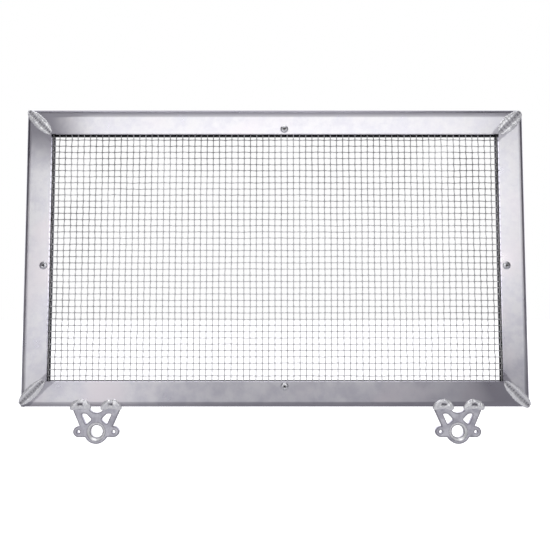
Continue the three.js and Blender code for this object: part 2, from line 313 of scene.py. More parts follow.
def attribute(tree, name):
    return addNode(tree, "ShaderNodeAttribute", attribute_name=name).outputs["Fac"]


def bumped(tree, height, strength, distance):
    node = addNode(tree, "ShaderNodeBump")
    feedAll(tree, node, Height=height, Strength=strength, Distance=distance)
    return node.outputs["Normal"]


# in the dictionaries of looks, a range is where a pattern starts and where it is at its full,
# roughness is the least value and what the pattern adds to it, and bump is strength and height
def finishSurface(tree, surface, look, pattern, height):
    least, added = look["roughness"]
    feed(tree, surface["Roughness"], addScaled(tree, least, pattern, added))
    feed(tree, surface["Normal"], bumped(tree, height, *look["bump"]))


railLook = {
    "light": (0.97, 0.96, 0.98, 1),
    "dark": (0.80, 0.79, 0.85, 1),
    "pink": (0.97, 0.92, 0.95, 1),
    "weldDarkAndShade": (0.30, 0.29, 0.33, 1),
    "inside": (0.03, 0.03, 0.035, 1),
    "cloudRange": (0.3, 0.7),
    "patchRange": (0.5, 0.75),
    "roughness": (0.2, 0.22),
    "bump": (0.3, 0.09 * mm),
    "along": 0.035,  # how much the grain is drawn out along a side
    "bottomShade": 0.33,  # how strong the painted shade on the bottom rail is
}

# three numbers are a darkening's strength and the distances between which it fades out,
# and two are only such distances
darkening = {
    "ragged": 8 * mm,  # how uneven the edges of the darkening along the mitre lines are
    "beside": (0.55, 10.5 * mm, 13.5 * mm),  # from the mitre line
    "near": (0.12, 11 * mm, 50 * mm),
    "cornerShade": (11 * mm, 75 * mm),
    "cornerShadeInwards": 0.7,  # how quickly it fades inwards, beside how it does along a rail
    "shadedCorners": (250 * mm, 330 * mm),  # where it starts, as sideways plus upwards from the middle
    "topLeft": 0.95,  # how strong the painted shade is at the two corners that have it
    "bottomRight": 0.2,
    "bend": (0.55, 4.2 * mm, 6.0 * mm),  # painted shade on the outer bends, from the nearest outer edge
    "topBand": (0.72, 6.6 * mm, 8.8 * mm),  # painted shade along the top, from the top
    "shadeTowardsMiddle": (-200 * mm, -40 * mm),  # painted shade: the bottom rail grows darker towards its middle
    "shadeTowardsEnd": (80 * mm, 254 * mm),  # and darker still towards its right end
    "endFactor": 1.5,
    "most": 0.95,
}


def fromOuterEdge(tree, place, centre, half):
    aside = maths(tree, "ABSOLUTE", maths(tree, "SUBTRACT", place, centre))
    return maths(tree, "SUBTRACT", half, aside)


# how dark the rails are: darker beside the welds, and painted shade at two corners, on the outer bends,
# along the top and along the bottom rail, where the metal reflects the dim room
def weldDarkAndShadeMask(tree, vector, cloud, bottomShade):
    parts = split(tree, vector)
    centre = rail["centre"]
    fromSide = fromOuterEdge(tree, parts["X"], centre.x, rail["halfWidth"])
    fromEnd = fromOuterEdge(tree, parts["Z"], centre.z, rail["halfHeight"])
    inwards = maths(tree, "MINIMUM", fromSide, fromEnd)
    fromMitre = maths(tree, "ABSOLUTE", maths(tree, "SUBTRACT", fromSide, fromEnd))
    away = addScaled(tree, fromMitre, cloud, darkening["ragged"])
    fromTop = maths(tree, "SUBTRACT", centre.z + rail["halfHeight"], parts["Z"])
    weldDarkAndShade = 0.0
    for label, distance in (("beside", away), ("near", away), ("bend", inwards), ("topBand", fromTop)):
        strength, start, end = darkening[label]
        weldDarkAndShade = addScaled(tree, weldDarkAndShade, fading(tree, distance, start, end), strength)
    # painted shade at the top left and bottom right corners, where the rails reflect the dim room
    cornerShade = fading(tree, addScaled(tree, away, inwards, darkening["cornerShadeInwards"]), *darkening["cornerShade"])
    slant = addNode(tree, "ShaderNodeVectorMath", operation="DOT_PRODUCT")
    feed(tree, slant.inputs[0], vector)
    slant.inputs[1].default_value = (-1.0, 0.0, 1.0)
    leaning = maths(tree, "SUBTRACT", slant.outputs["Value"], centre.z)
    for sign, corner in ((1.0, "topLeft"), (-1.0, "bottomRight")):
        shadedHere = smoothStep(tree, times(tree, leaning, sign), *darkening["shadedCorners"])
        weldDarkAndShade = addScaled(tree, weldDarkAndShade, times(tree, cornerShade, shadedHere), darkening[corner])
    # painted shade along the bottom rail, where it reflects the dim room
    if bottomShade:
        for label, factor in (("shadeTowardsMiddle", 1.0), ("shadeTowardsEnd", darkening["endFactor"])):
            dull = smoothStep(tree, parts["X"], *darkening[label])
            weldDarkAndShade = addScaled(tree, weldDarkAndShade, dull, bottomShade * factor)
    return maths(tree, "MINIMUM", weldDarkAndShade, darkening["most"])


def railMaterial(name, lengthways, bottomShade=0.0):
    material, tree, surface = newMaterial(name)
    vector = objectVector(tree)
    scale = [1.0, 1.0, 1.0]
    scale[lengthways] = railLook["along"]
    handled = addNode(tree, "ShaderNodeGroup", node_tree=handledMetal)
    feedAll(tree, handled, Vector=vector, Grain_Vector=stretched(tree, vector, scale))
    cloud, patch, height = (handled.outputs[label] for label in ("Cloud", "Patch", "Height"))
    pale = smoothStep(tree, cloud, *railLook["cloudRange"])
    tone = mixColour(tree, pale, railLook["dark"], railLook["light"])
    pinkish = smoothStep(tree, patch, *railLook["patchRange"])
    tone = mixColour(tree, pinkish, tone, railLook["pink"])
    # painted shade, and the darkening beside the welds, mixed into the rail colour
    tone = mixColour(tree, weldDarkAndShadeMask(tree, vector, cloud, bottomShade), tone, railLook["weldDarkAndShade"])
    # painted shade: faces within the channel are painted near black
    tone = mixColour(tree, attribute(tree, "inside"), tone, railLook["inside"])
    feed(tree, surface["Base Color"], tone)
    finishSurface(tree, surface, railLook, cloud, height)
    return material


weldLook = {
    "bright": (1.0, 1.0, 1.0, 1),
    "dull": (0.84, 0.84, 0.88, 1),
    "groove": (0.12, 0.11, 0.14, 1),
    "speckScale": 700.0,
    "speckRange": (0.35, 0.6),
    "metallic": 0.4,
    "roughness": (0.22, 0.25),
    "bump": (0.35, 0.1 * mm),
}


def weldMaterial():
    material, tree, surface = newMaterial("rippledWeld")
    # painted shade: dark in the ripple grooves and the middle valley
    groove = attribute(tree, "groove")
    speck = noise(tree, objectVector(tree), weldLook["speckScale"], 3.0)
    pale = smoothStep(tree, speck, *weldLook["speckRange"])
    tone = mixColour(tree, pale, weldLook["dull"], weldLook["bright"])
    feed(tree, surface["Base Color"], mixColour(tree, groove, tone, weldLook["groove"]))
    feed(tree, surface["Metallic"], weldLook["metallic"])
    finishSurface(tree, surface, weldLook, groove, speck)
    return material


tabLook = {
    "light": (0.84, 0.83, 0.88, 1),
    "dark": (0.54, 0.53, 0.59, 1),
    "ring": (1.0, 1.0, 1.0, 1),
    "litRingEdge": (8.6 * mm, 9.6 * mm),  # from the middle of the fastener hole
    "edge": (0.16, 0.15, 0.19, 1),
    "edgeReach": 2.6 * mm,
    "edgeTurn": (0.9, 0.998),
    "edgeShadeStrength": 0.85,
    "samples": 6,
    "cloudScale": 120.0,
    "grainScale": 1500.0,
    "cloudRange": (0.3, 0.7),
    "ringMetallic": -0.5,
    "roughness": (0.3, 0.2),
    "bump": (0.4, 0.1 * mm),
}


# the ring round the fastener hole is painted pale, a painted highlight for the light its dimple catches,
# and the edges are painted dark, a painted shade for their rounding
def tabMaterial():
    material, tree, surface = newMaterial("satinPlate")
    vector = objectVector(tree)
    handled = addNode(tree, "ShaderNodeGroup", node_tree=handledMetal)
    feedAll(tree, handled, Vector=vector, Grain_Vector=vector)
    feedAll(tree, handled, Cloud_Scale=tabLook["cloudScale"], Grain_Scale=tabLook["grainScale"])
    cloud = handled.outputs["Cloud"]
    pale = smoothStep(tree, cloud, *tabLook["cloudRange"])
    tone = mixColour(tree, pale, tabLook["dark"], tabLook["light"])
    parts = split(tree, vector)
    # painted highlight: a pale, less metallic ring round the fastener hole
    aside = minus(tree, maths(tree, "ABSOLUTE", parts["X"]), middle("right_tab").x)
    squared = maths(tree, "ADD", times(tree, aside, aside), times(tree, parts["Z"], parts["Z"]))
    ring = fading(tree, maths(tree, "SQRT", squared), *tabLook["litRingEdge"])
    tone = mixColour(tree, ring, tone, tabLook["ring"])
    # painted shade: the colour darkens near every edge, where the bevel normal turns away
    rounded = addNode(tree, "ShaderNodeBevel", samples=tabLook["samples"])
    rounded.inputs["Radius"].default_value = tabLook["edgeReach"]
    turned = addNode(tree, "ShaderNodeVectorMath", operation="DOT_PRODUCT")
    feed(tree, turned.inputs[0], rounded.outputs["Normal"])
    feed(tree, turned.inputs[1], addNode(tree, "ShaderNodeNewGeometry").outputs["True Normal"])
    edge = fading(tree, turned.outputs["Value"], *tabLook["edgeTurn"])
    edge = times(tree, edge, tabLook["edgeShadeStrength"])
    feed(tree, surface["Base Color"], mixColour(tree, edge, tone, tabLook["edge"]))
    feed(tree, surface["Metallic"], addScaled(tree, 1.0, ring, tabLook["ringMetallic"]))
    finishSurface(tree, surface, tabLook, cloud, handled.outputs["Height"])
    return material


wireLook = {
    "light": (1.0, 1.0, 1.0, 1),
    "dark": (0.94, 0.94, 0.94, 1),
    "wireShade": (0.24, 0.23, 0.24, 1),
    "crossingShade": (0.09, 0.09, 0.10, 1),
    "shadeFrom": -20 * mm,  # height above the frame's middle where the painted shade starts
    "shadeAside": 140 * mm,  # the same to either side
    "highWeight": 0.5,
    "asideWeight": 0.45,
    "patchScale": 22.0,
    "patchRange": (0.3, 0.6),
    "crossingShadeLeast": 0.4,  # how dark the painted shade at the crossings is where the wires have no other painted shade
    "drawnScale": 500.0,
    "drawnRange": (0.35, 0.7),
    "metallic": 0.15,
    "roughness": (0.45, 0.2),
    "bumpScale": 2500.0,
    "bump": (0.2, 0.05 * mm),
}


def wireMaterial():
    material, tree, surface = newMaterial("stainlessWire")
    vector = objectVector(tree)
    centre = rail["centre"]
    drawn = noise(tree, vector, wireLook["drawnScale"])
    pale = smoothStep(tree, drawn, *wireLook["drawnRange"])
    tone = mixColour(tree, pale, wireLook["dark"], wireLook["light"])
    # painted shade: the wires grow darker towards the top and the sides, in patches, and darker still at
    # the crossings
    parts = split(tree, vector)
    high = smoothStep(tree, parts["Z"], centre.z + wireLook["shadeFrom"], centre.z + rail["halfHeight"])
    aside = maths(tree, "ABSOLUTE", maths(tree, "SUBTRACT", parts["X"], centre.x))
    aside = smoothStep(tree, aside, wireLook["shadeAside"], rail["halfWidth"])
    patch = noise(tree, vector, wireLook["patchScale"], 3.0)
    patch = smoothStep(tree, patch, *wireLook["patchRange"])
    wireShade = times(tree, high, wireLook["highWeight"])
    wireShade = addScaled(tree, wireShade, aside, wireLook["asideWeight"])
    wireShade = maths(tree, "MULTIPLY", wireShade, patch, clamp=True)
    tone = mixColour(tree, wireShade, tone, wireLook["wireShade"])
    # painted shade at the crossings, deeper where the wires are shaded
    crossingShadeAmount = addScaled(tree, wireLook["crossingShadeLeast"], wireShade, 1 - wireLook["crossingShadeLeast"])
    crossingShade = maths(tree, "MULTIPLY", attribute(tree, "knot"), crossingShadeAmount, clamp=True)
    feed(tree, surface["Base Color"], mixColour(tree, crossingShade, tone, wireLook["crossingShade"]))
    feed(tree, surface["Metallic"], wireLook["metallic"])
    finishSurface(tree, surface, wireLook, drawn, noise(tree, vector, wireLook["bumpScale"]))
    return material


rivetLook = {
    "light": (0.80, 0.80, 0.82, 1),
    "dark": (0.55, 0.55, 0.58, 1),
    "roughness": (0.22, 0.2),
    "bump": (0.3, 0.08 * mm),
}
mandrelLook = {
    "light": (0.20, 0.19, 0.18, 1),
    "dark": (0.07, 0.07, 0.07, 1),
    "roughness": (0.4, 0.2),
    "bump": (0.3, 0.08 * mm),
}
wear = {"scale": 700.0, "range": (0.35, 0.65)}


def rivetMaterial(name, look):
    material, tree, surface = newMaterial(name)
    worn = noise(tree, objectVector(tree), wear["scale"], 3.0)
    pale = smoothStep(tree, worn, *wear["range"])
    feed(tree, surface["Base Color"], mixColour(tree, pale, look["dark"], look["light"]))
    finishSurface(tree, surface, look, worn, worn)
    return material


railLevel = railMaterial("brushedRailLevel", 0)
railBottom = railMaterial("brushedRailBottom", 0, railLook["bottomShade"])
railUpright = railMaterial("brushedRailUpright", 2)
weldMetal = weldMaterial()
plateMetal = tabMaterial()
wireMetal = wireMaterial()
rivetMetal = rivetMaterial("rivetAluminium", rivetLook)
mandrelMetal = rivetMaterial("mandrelSteel", mandrelLook)
print("materials made")


# rails and tabs: copies of the CAD nodes with their sharp edges broken

def softened(node, name, material, edge):
    mesh = nodes[node].data.copy()
    mesh.name = name
    mesh.materials.clear()
    mesh.materials.append(material)
    build = bmesh.new()
    build.from_mesh(mesh)
    bmesh.ops.remove_doubles(build, verts=build.verts, dist=edge["merge"])
    bmesh.ops.dissolve_limit(build, angle_limit=edge["flat"], verts=build.verts, edges=build.edges)
    build.to_mesh(mesh)
    build.free()
    piece = bpy.data.objects.new(name, mesh)
    bpy.context.scene.collection.objects.link(piece)
    bevel = piece.modifiers.new("brokenEdge", "BEVEL")
    bevel.width = edge["width"]
    bevel.segments = 2
    bevel.limit_method = "ANGLE"
    bevel.angle_limit = edge["sharp"]
    mesh.shade_smooth()
    piece.modifiers.new("flatFaces", "WEIGHTED_NORMAL").keep_sharp = True
    done = bpy.data.meshes.new_from_object(piece.evaluated_get(bpy.context.evaluated_depsgraph_get()))
    piece.modifiers.clear()
    piece.data = done
    done.name = name
    return piece


brokenEdge = {
    "merge": 0.004 * mm,
    "flat": math.radians(0.4),
    "sharp": math.radians(35),
    "width": 0.4 * mm,
}


# the faces within the channel and the back of its lip are painted as good as black: painted shade for
# the dark hollow
def markShadedInside(mesh):
    skin = 1.6 * mm
    centre = rail["centre"]
    inside = mesh.attributes.new("inside", "FLOAT", "FACE")
    for face in mesh.polygons:
        spot = face.center
        depth = min(spot.y - rail["front"], rail["back"] - spot.y)
        fromSide = rail["halfWidth"] - abs(spot.x - centre.x)
        inwards = min(fromSide, rail["halfHeight"] - abs(spot.z - centre.z))
        hidden = depth > skin and skin < inwards < rail["face"] - skin
        backLip = inwards > rail["face"] - skin and spot.y > centre.y
        inside.data[face.index].value = 1.0 if hidden or backLip else 0.0


def makeRails():
    for side in sideNames:
        material = {"bottom": railBottom, "top": railLevel}.get(side, railUpright)
        piece = softened(side + "_rail", side + "_channel", material, brokenEdge)
        markShadedInside(piece.data)
        keep(piece, "frame_metal", side + "_rail")


def makeTabs():
    rounder = {**brokenEdge, "width": 0.7 * mm}
    for side in tabNames:
        piece = softened(side + "_tab", side + "_plate", plateMetal, rounder)
        keep(piece, "tab_metal", side + "_tab")


makeRails()
makeTabs()
print("rails and tabs made")


# wire screen

screen = {
    "pitch": 6.35 * mm,
    "radius": 0.5 * mm,
    "crimp": 0.55 * mm,
    "stepsPerCell": 4,
    "wander": 0.16 * mm,  # how far a single wire strays sideways
    "drift": 0.5 * mm,  # how far neighbours stray together
    "sides": 6,
    "knotRange": (0.75, 1.0),
}
# how quickly each kind of straying changes from wire to wire, and along a wire
strays = {"Wander": (3.7, 0.45), "Drift": (0.16, 0.16)}


def makeWireTree():
    tree, given, made = newTree(
        "crimpedWires",
        "GeometryNodeTree",
        [
            ("Count", "NodeSocketInt", 10),
            ("Pitch", "NodeSocketFloat", 0.006),
            ("Length", "NodeSocketFloat", 0.2),
            ("Radius", "NodeSocketFloat", 0.0006),
            ("Crimp", "NodeSocketFloat", 0.0005),
            ("Side", "NodeSocketFloat", 1.0),
            ("Steps", "NodeSocketInt", 100),
            ("Wander", "NodeSocketFloat", 0.0002),
            ("Drift", "NodeSocketFloat", 0.0002),
            ("Seed", "NodeSocketFloat", 1.0),
            ("Round", "NodeSocketInt", 6),
            ("Finish", "NodeSocketMaterial", None),
        ],
        [("Geometry", "NodeSocketGeometry")],
    )
    half = times(tree, maths(tree, "SUBTRACT", given["Count"], 1.0), 0.5)
    row = addNode(tree, "GeometryNodeMeshLine", mode="OFFSET")
    start = joined(tree, X=times(tree, half, given["Pitch"], -1.0))
    feedAll(tree, row, Count=given["Count"], Start_Location=start, Offset=joined(tree, X=given["Pitch"]))
    index = addNode(tree, "GeometryNodeInputIndex").outputs[0]
    numbered = stored(tree, row.outputs["Mesh"], "row", maths(tree, "SUBTRACT", index, half))
    line = addNode(tree, "GeometryNodeCurvePrimitiveLine")
    ends = [joined(tree, Z=times(tree, given["Length"], sign)) for sign in (-0.5, 0.5)]
    feedAll(tree, line, Start=ends[0], End=ends[1])
    stepped = addNode(tree, "GeometryNodeResampleCurve")
    feedAll(tree, stepped, Curve=line.outputs["Curve"], Count=given["Steps"])
    laid = addNode(tree, "GeometryNodeInstanceOnPoints")
    feedAll(tree, laid, Points=numbered, Instance=stepped.outputs["Curve"])
    wires = realized(tree, laid.outputs["Instances"])

    # each wire goes over and under its crossings, and strays a little sideways
    named = addNode(tree, "GeometryNodeInputNamedAttribute", data_type="FLOAT")
    feed(tree, named.inputs["Name"], "row")
    number = named.outputs["Attribute"]
    cell = maths(tree, "DIVIDE", split(tree, readPosition(tree))["Z"], given["Pitch"])
    wave = maths(tree, "COSINE", times(tree, maths(tree, "ADD", cell, number), math.pi))
    crimped = times(tree, wave, given["Crimp"], given["Side"])
    sideways = 0.0
    for reach, (apart, along) in strays.items():
        spot = joined(tree, X=times(tree, number, apart), Y=given["Seed"], Z=times(tree, cell, along))
        strayed = maths(tree, "SUBTRACT", noise(tree, spot, 1.0, 1.0), 0.5)
        sideways = addScaled(tree, sideways, strayed, times(tree, given[reach], 2.0))
    bent = addNode(tree, "GeometryNodeSetPosition")
    feedAll(tree, bent, Geometry=wires, Offset=joined(tree, X=sideways, Y=crimped))
    knot = maths(tree, "ABSOLUTE", maths(tree, "COSINE", times(tree, cell, math.pi)))
    knot = smoothStep(tree, knot, *screen["knotRange"])
    knotted = stored(tree, bent.outputs["Geometry"], "knot", knot)
    ring = addNode(tree, "GeometryNodeCurvePrimitiveCircle")
    feedAll(tree, ring, Resolution=given["Round"], Radius=given["Radius"])
    tube = addNode(tree, "GeometryNodeCurveToMesh")
    feedAll(tree, tube, Curve=knotted, Profile_Curve=ring.outputs["Curve"], Fill_Caps=True)
    woven = realized(tree, shadedSmooth(tree, tube.outputs["Mesh"]))
    feed(tree, made["Geometry"], finished(tree, woven, given["Finish"]))
    return tree


def makeScreen():
    tree = makeWireTree()
    layers = (
        ("upright_wires", "woven_upright_wires", True, 1.0, 3.0),
        ("level_wires", "woven_level_wires", False, -1.0, 11.0),
    )
    for node, name, upright, side, seed in layers:
        low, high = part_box(node)
        size = high - low
        span, length = (size.x, size.z) if upright else (size.z, size.x)
        turn = Matrix() if upright else Matrix.Rotation(math.pi / 2, 4, "Y")
        values = {
            "Count": round((span - 2 * screen["radius"]) / screen["pitch"]) + 1,
            "Pitch": screen["pitch"],
            "Length": length,
            "Radius": screen["radius"],
            "Crimp": screen["crimp"],
            "Side": side,
            "Steps": round(length / screen["pitch"] * screen["stepsPerCell"]) + 1,
            "Wander": screen["wander"],
            "Drift": screen["drift"],
            "Seed": seed,
            "Round": screen["sides"],
            "Finish": wireMetal,
        }
        piece = grow(name, tree, values, matrix=Matrix.Translation(rail["centre"]) @ turn)
        keep(piece, "screen_wire", node)


makeScreen()
print("screen woven")


# weld beads

# along, across and up each go from -1 to 1 over a bead, and a range is as in the looks
beadShape = {
    "segments": 28,
    # how quickly the unevenness changes: in a metre along, in half the width, and in the rise
    "spread": (260.0, 1.6, 1.6),
    "phaseJitter": 1.1,
    "reachJitter": 0.5,
    "topRange": (0.0, 0.35),
    "middleRange": (0.05, 0.42),
    "reachRange": (0.6, 1.0),
    "sideRipples": 0.2,  # how much of the ripples there is outside the middle
    "least": 0.94,  # the width between two ripples
    "swell": 0.08,  # and what a ripple adds to it
    "darkRange": (0.25, 0.9),
    "darkRipples": 0.35,
    "darkValley": 1.2,
}


def makeBeadTree():
    tree, given, made = newTree(
        "rippledBead",
        "GeometryNodeTree",
        [
            ("Length", "NodeSocketFloat", 0.03),
            ("Width", "NodeSocketFloat", 0.01),
            ("Rise", "NodeSocketFloat", 0.002),
            ("Sink", "NodeSocketFloat", 0.002),
            ("Blunt", "NodeSocketFloat", 2.6),
            ("Ripple", "NodeSocketFloat", 0.0018),
            ("Ripple Depth", "NodeSocketFloat", 0.0005),
            ("Curl", "NodeSocketFloat", 0.5),
            ("Valley", "NodeSocketFloat", 0.35),
            ("Valley Reach", "NodeSocketFloat", 1.6),
            ("Crown", "NodeSocketFloat", 0.55),
            ("Arch", "NodeSocketFloat", 0.0),
            ("Bend", "NodeSocketFloat", 0.0),
            ("Bend From", "NodeSocketFloat", 0.0),
            ("Rough", "NodeSocketFloat", 0.0003),
            ("Seed", "NodeSocketFloat", 1.0),
            ("Rings", "NodeSocketInt", 180),
            ("Finish", "NodeSocketMaterial", None),
        ],
        [("Geometry", "NodeSocketGeometry")],
    )
    ball = addNode(tree, "GeometryNodeMeshUVSphere")
    feedAll(tree, ball, Segments=beadShape["segments"], Rings=given["Rings"], Radius=1.0)
    spot = split(tree, readPosition(tree))
    along, across, up = spot["Z"], spot["X"], spot["Y"]
    distance = times(tree, given["Length"], 0.5, along)
    halfWidth = times(tree, given["Width"], 0.5)
    rough = times(tree, given["Rough"], 2.0)
    # the round ends of the ball become blunter
    blunt = minus(tree, 1.0, maths(tree, "POWER", maths(tree, "ABSOLUTE", along), given["Blunt"]))
    sharp = minus(tree, 1.001, along, along)
    fuller = maths(tree, "SQRT", maths(tree, "DIVIDE", maths(tree, "MAXIMUM", blunt, 0.0), sharp))
    # ripples, each one curled back at its ends
    places = zip((distance, across, up), beadShape["spread"])
    x, y, z = (times(tree, place, quickness) for place, quickness in places)
    spread = joined(tree, X=x, Y=y, Z=maths(tree, "ADD", z, given["Seed"]))
    jitter = maths(tree, "SUBTRACT", noise(tree, spread, 1.0), 0.5)
    curled = times(tree, across, across, times(tree, halfWidth, given["Curl"]))
    phase = maths(tree, "DIVIDE", maths(tree, "ADD", distance, curled), given["Ripple"])
    phase = addScaled(tree, phase, jitter, beadShape["phaseJitter"])
    lobe = maths(tree, "ABSOLUTE", maths(tree, "SINE", times(tree, phase, math.pi)))
    onTop = smoothStep(tree, up, *beadShape["topRange"])
    # the middle of the bead lies lower than its two ridges, and its ripples are deeper
    within = maths(tree, "ABSOLUTE", addScaled(tree, along, jitter, beadShape["reachJitter"]))
    within = maths(tree, "DIVIDE", within, given["Valley Reach"])
    inMiddle = fading(tree, maths(tree, "ABSOLUTE", across), *beadShape["middleRange"])
    inMiddle = times(tree, inMiddle, fading(tree, within, *beadShape["reachRange"]))
    valley = times(tree, inMiddle, given["Valley"], onTop)
    rippled = addScaled(tree, beadShape["sideRipples"], inMiddle, 1 - beadShape["sideRipples"])
    groove = times(tree, maths(tree, "SUBTRACT", 1.0, lobe), times(tree, onTop, rippled))
    widened = addScaled(tree, beadShape["least"], lobe, beadShape["swell"])
    y = times(tree, across, halfWidth, times(tree, fuller, widened))
    y = addScaled(tree, y, jitter, rough)
    y = minus(tree, y, given["Arch"], times(tree, along, along))
    crowned = maths(tree, "POWER", maths(tree, "MAXIMUM", up, 0.0), given["Crown"])
    tall = times(tree, crowned, given["Rise"])
    deep = times(tree, maths(tree, "MINIMUM", up, 0.0), given["Sink"])
    z = times(tree, maths(tree, "ADD", tall, deep), fuller)
    z = minus(tree, z, groove, given["Ripple Depth"])
    z = minus(tree, z, valley, given["Rise"])
    z = addScaled(tree, z, times(tree, jitter, onTop), rough)
    # over the rounded edge the bead follows the metal down
    fromCorner = times(tree, maths(tree, "ADD", distance, given["Bend From"]), 1 / math.sqrt(2))
    over = maths(tree, "SUBTRACT", 1.0, maths(tree, "DIVIDE", fromCorner, given["Bend"]), clamp=True)
    drop = minus(tree, 1.0, maths(tree, "SQRT", minus(tree, 1.0, over, over)))
    z = minus(tree, z, drop, given["Bend"])
    # painted shade: the ripple grooves and the sunken middle of the bead are marked for a dark colour
    grooveShade = times(tree, smoothStep(tree, groove, *beadShape["darkRange"]), beadShape["darkRipples"])
    grooveShade = addScaled(tree, grooveShade, valley, beadShape["darkValley"])
    marked = stored(tree, ball.outputs["Mesh"], "groove", grooveShade)
    shaped = addNode(tree, "GeometryNodeSetPosition")
    feedAll(tree, shaped, Geometry=marked, Position=joined(tree, X=distance, Y=y, Z=z))
    bead = realized(tree, shadedSmooth(tree, shaped.outputs["Geometry"]))
    feed(tree, made["Geometry"], finished(tree, bead, given["Finish"]))
    return tree


beadTree = makeBeadTree()


# a matrix whose X runs along the bead and whose Z stands out of the metal
def beadMatrix(origin, along, out):
    along, out = along.normalized(), out.normalized()
    across = out.cross(along)
    matrix = Matrix((along, across, out)).transposed().to_4x4()
    return Matrix.Translation(origin) @ matrix


cornerBead = {
    "width": 12.5 * mm,
    "rise": 1.5 * mm,
    "sink": 1.5 * mm,
    "rough": 0.45 * mm,
    "overhang": {"bottom_left": -1.4 * mm, "top_left": -2.2 * mm, "bottom_right": 0.8 * mm},
    "aside": {"bottom_left": 2.2 * mm},  # beads that wander off the mitre line, towards the upright side
    "margin": 0.3 * mm,
    "blunt": 1.9,
    "ripple": 2.9 * mm,
    "rippleDepth": 0.3 * mm,
    "valley": 0.5,
}
# factors for the bead at the dressed corner, which is wider and smoother than the others
dressedBead = {"width": 1.2, "ripple": 1.3, "rippleDepth": 0.6}
edgeBead = {
    "length": 8.5 * mm,
    "width": 4.2 * mm,
    "rise": 0.9 * mm,
    "inwards": 1.26 * mm,
    "blunt": 4.0,
    "rings": 60,
}


def makeCornerBeads():
    diagonal = rail["face"] * math.sqrt(2)
    centre = rail["centre"]
    for number, (corner, (signX, signZ)) in enumerate(cornerSigns.items()):
        # at the dressed corner the bead stops short
        dressed = corner == "top_right"
        factor = dressedBead if dressed else {}
        start = rail["dressed"] * (math.sqrt(2) - 1) if dressed else -cornerBead["overhang"][corner]
        length = diagonal - cornerBead["margin"] - start
        fromCorner = length / 2 + start
        inwards = Vector((-signX, 0, -signZ)).normalized()
        outer = Vector((centre.x + signX * rail["halfWidth"], 0, centre.z + signZ * rail["halfHeight"]))
        for face, y, out in (("front", rail["front"], -1), ("back", rail["back"], 1)):
            values = {
                "Length": length,
                "Width": cornerBead["width"] * factor.get("width", 1),
                "Rise": cornerBead["rise"],
                "Sink": cornerBead["sink"],
                "Blunt": cornerBead["blunt"],
                "Ripple": cornerBead["ripple"] * factor.get("ripple", 1),
                "Ripple Depth": cornerBead["rippleDepth"] * factor.get("rippleDepth", 1),
                "Valley": cornerBead["valley"],
                "Bend": rail["bend"],
                "Bend From": fromCorner,
                "Rough": cornerBead["rough"],
                "Seed": number * 7.3 + out,
                "Finish": weldMetal,
            }
            sideways = Vector((signX, 0, -signZ)).normalized() * cornerBead["aside"].get(corner, 0)
            origin = outer + inwards * fromCorner + sideways + Vector((0, y, 0))
            matrix = beadMatrix(origin, inwards, Vector((0, out, 0)))
            piece = grow(f"{corner}_{face}_bead", beadTree, values, matrix=matrix)
            keep(piece, "weld_metal", f"{corner}_{face}_weld")
        if dressed:
            continue
        values = {
            "Length": edgeBead["length"],
            "Width": edgeBead["width"],
            "Rise": edgeBead["rise"],
            "Sink": cornerBead["sink"],
            "Blunt": edgeBead["blunt"],
            "Ripple": cornerBead["ripple"],
            "Ripple Depth": cornerBead["rippleDepth"],
            "Valley": 0.0,
            "Rings": edgeBead["rings"],
            "Seed": number * 5.1,
            "Finish": weldMetal,
        }
        origin = outer + Vector((0, centre.y, 0)) + inwards * edgeBead["inwards"]
        matrix = beadMatrix(origin, Vector((0, 1, 0)), -inwards)
        piece = grow(f"{corner}_edge_bead", beadTree, values, matrix=matrix)
        keep(piece, "weld_metal", f"{corner}_edge_weld")


tabBead = {
    "length": 21 * mm,
    "width": 10.5 * mm,
    "rise": 2.6 * mm,
    "sink": 4.5 * mm,
    "arch": 3.6 * mm,
    "ripple": 60 * mm,
    "rippleDepth": 0.0,
    "valley": 0.6,
    "valleyReach": 0.3,
    "blunt": 3.2,
    "curl": 0.9,
    "rough": 0.9 * mm,
    "up": 3.0 * mm,
    "deep": 0.6 * mm,
}


def makeTabBeads():
    for side in tabNames:
        for foot in tabNames:
            node = f"{side}_tab_{foot}_weld"
            spot = middle(node)
            origin = Vector((spot.x, rail["front"] + tabBead["deep"], bottomLow.z + tabBead["up"]))
            values = {
                "Length": tabBead["length"],
                "Width": tabBead["width"],
                "Rise": tabBead["rise"],
                "Sink": tabBead["sink"],
                "Blunt": tabBead["blunt"],
                "Ripple": tabBead["ripple"],
                "Ripple Depth": tabBead["rippleDepth"],
                "Curl": tabBead["curl"],
                "Valley": tabBead["valley"],
                "Valley Reach": tabBead["valleyReach"],
                "Arch": tabBead["arch"],
                "Rough": tabBead["rough"],
                "Seed": spot.x * 90,
                "Finish": weldMetal,
            }
            matrix = beadMatrix(origin, Vector((1, 0, 0)), Vector((0, -1, 0)))
            keep(grow(f"{side}_tab_{foot}_bead", beadTree, values, matrix=matrix), "weld_metal", node)


makeCornerBeads()
makeTabBeads()
print("welds made")


# blind rivets

rivet = {
    "sides": 32,
    "head": 4.0 * mm,
    "rim": 0.25 * mm,
    "shank": 2.0 * mm,
    "bore": 1.15 * mm,
    "rise": 1.4 * mm,
    "domePower": 0.8,
    "bulb": 2.9 * mm,
    "bulbWidest": 1.4 * mm,  # behind the channel's back face
    "bulbEnd": 3.2 * mm,
    "tailInside": 0.2 * mm,
    "tailRound": 0.4 * mm,
    "gap": 0.02 * mm,  # keeps the head and the bulb clear of the channel's faces
}


